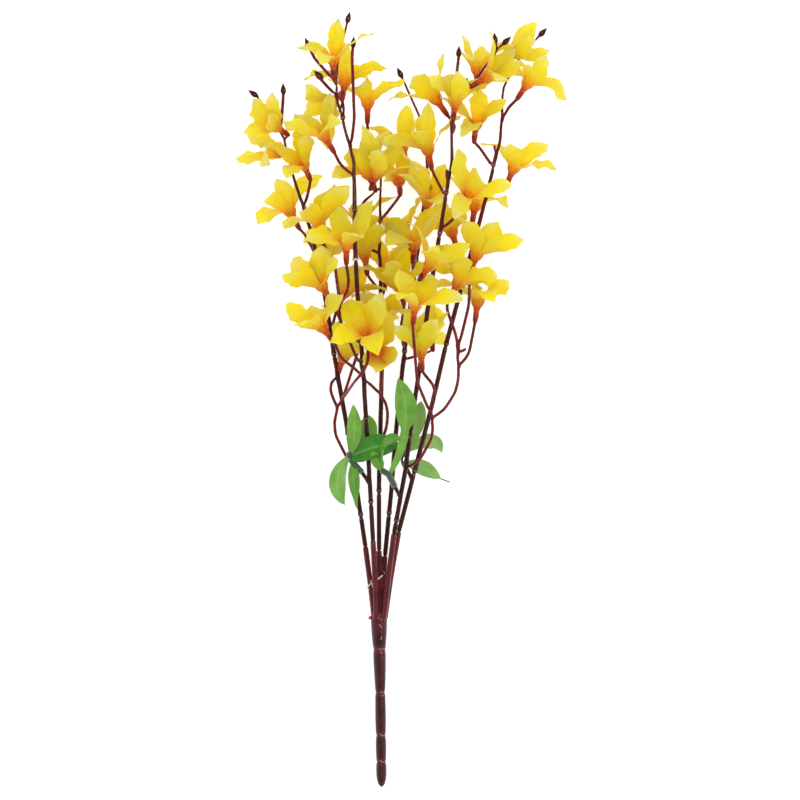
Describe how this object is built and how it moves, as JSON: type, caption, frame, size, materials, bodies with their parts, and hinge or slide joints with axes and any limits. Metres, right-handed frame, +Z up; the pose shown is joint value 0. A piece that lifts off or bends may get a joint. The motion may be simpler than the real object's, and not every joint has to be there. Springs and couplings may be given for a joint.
{
  "type": "artificial forsythia bunch",
  "caption": "Artificial forsythia bunch: a ringed moulded handle, forking maroon stems with pointed buds, four-petalled yellow cloth florets and small sprigs of green cloth leaves.",
  "frame": {"origin": "on the surface that the bunch lies on, under the middle of its bounding box", "axes": "+Y from the handle's foot to the flowers, +X to the right seen from above, +Z up"},
  "size_m": [0.2388, 0.5584, 0.1378],
  "materials": {
    "handle_plastic": "satin dark maroon moulded plastic with worn mould rings",
    "stem_plastic": "glossy maroon moulded plastic, redder on the flared sockets, near black on the buds",
    "petal_cloth": "dyed pressed cloth, bright yellow with an orange throat",
    "leaf_cloth": "dyed pressed green cloth with moulded veins, on a dark green plastic sleeve"
  },
  "bodies": {
    "root": {"handle": "handle_plastic", "stem_1": "stem_plastic", "stem_2": "stem_plastic", "stem_3": "stem_plastic", "stem_4": "stem_plastic", "stem_5": "stem_plastic", "stem_6": "stem_plastic", "leaf_sprig_1": "leaf_cloth", "leaf_sprig_2": "leaf_cloth", "leaf_sprig_3": "leaf_cloth", "floret_01": "petal_cloth", "floret_02": "petal_cloth", "floret_03": "petal_cloth", "floret_04": "petal_cloth", "floret_05": "petal_cloth", "floret_06": "petal_cloth", "floret_07": "petal_cloth", "floret_08": "petal_cloth", "floret_09": "petal_cloth", "floret_10": "petal_cloth", "floret_11": "petal_cloth", "floret_12": "petal_cloth", "floret_13": "petal_cloth", "floret_14": "petal_cloth", "floret_15": "petal_cloth", "floret_16": "petal_cloth", "floret_17": "petal_cloth", "floret_18": "petal_cloth", "floret_19": "petal_cloth", "floret_20": "petal_cloth", "floret_21": "petal_cloth", "floret_22": "petal_cloth", "floret_23": "petal_cloth", "floret_24": "petal_cloth", "floret_25": "petal_cloth", "floret_26": "petal_cloth", "floret_27": "petal_cloth", "floret_28": "petal_cloth", "floret_29": "petal_cloth", "floret_30": "petal_cloth", "floret_31": "petal_cloth", "floret_32": "petal_cloth", "floret_33": "petal_cloth", "floret_34": "petal_cloth", "floret_35": "petal_cloth", "floret_36": "petal_cloth", "floret_37": "petal_cloth", "floret_38": "petal_cloth", "floret_39": "petal_cloth", "floret_40": "petal_cloth", "floret_41": "petal_cloth", "floret_42": "petal_cloth", "floret_43": "petal_cloth", "floret_44": "petal_cloth", "floret_45": "petal_cloth", "floret_46": "petal_cloth", "floret_47": "petal_cloth", "floret_48": "petal_cloth", "floret_49": "petal_cloth", "floret_50": "petal_cloth"}
  },
  "joints": []
}
